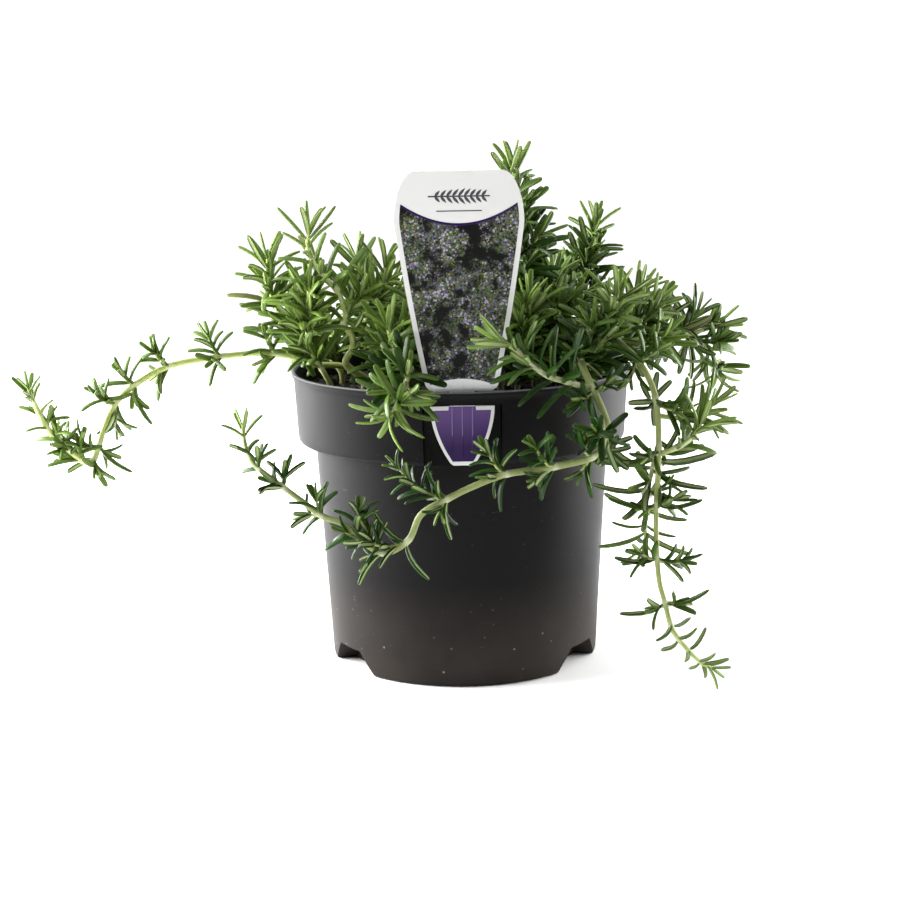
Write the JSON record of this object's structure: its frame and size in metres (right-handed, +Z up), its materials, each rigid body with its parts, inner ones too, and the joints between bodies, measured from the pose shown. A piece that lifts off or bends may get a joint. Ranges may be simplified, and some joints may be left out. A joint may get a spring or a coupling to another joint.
{
  "type": "potted rosemary plant",
  "caption": "Trailing rosemary with leafy stems hanging over the rim of a black plastic nursery pot, with its soil and a plain plant label.",
  "frame": {"origin": "centre of the pot's base, on the surface that it stands on", "axes": "+Z up, -Y towards the front where the label stands, +X to the right"},
  "size_m": [0.3013, 0.2052, 0.2111],
  "materials": {
    "pot_plastic": "injection-moulded polypropylene, satin",
    "potting_soil": "loose dark peat, dull and crumbly",
    "label_plastic": "smooth printed plastic sheet",
    "rosemary_leaf": "glossy narrow leaves on pale green stems"
  },
  "bodies": {
    "root": {"pot": "pot_plastic", "soil": "potting_soil", "plant_label": "label_plastic", "stem_trail_left": "rosemary_leaf", "stem_trail_front": "rosemary_leaf", "stem_trail_right": "rosemary_leaf", "stem_arch_back_right": "rosemary_leaf", "stem_trail_back": "rosemary_leaf", "stem_hang_front_left": "rosemary_leaf", "stem_bent_left": "rosemary_leaf", "stem_upright_label": "rosemary_leaf", "stem_upright_back": "rosemary_leaf", "stem_left_edge": "rosemary_leaf", "stem_left_whorl": "rosemary_leaf", "stem_left_mid": "rosemary_leaf", "stem_left_back": "rosemary_leaf", "stem_left_rim": "rosemary_leaf", "stem_centre": "rosemary_leaf", "stem_behind_label": "rosemary_leaf", "stem_centre_front": "rosemary_leaf", "stem_right_old": "rosemary_leaf", "stem_label_right": "rosemary_leaf", "stem_right_front": "rosemary_leaf", "stem_right_outer": "rosemary_leaf", "stem_right_top": "rosemary_leaf", "stem_right_rim": "rosemary_leaf", "stem_right_back": "rosemary_leaf", "stem_back_centre": "rosemary_leaf", "stem_back_left": "rosemary_leaf", "stem_back_low": "rosemary_leaf"}
  },
  "joints": []
}
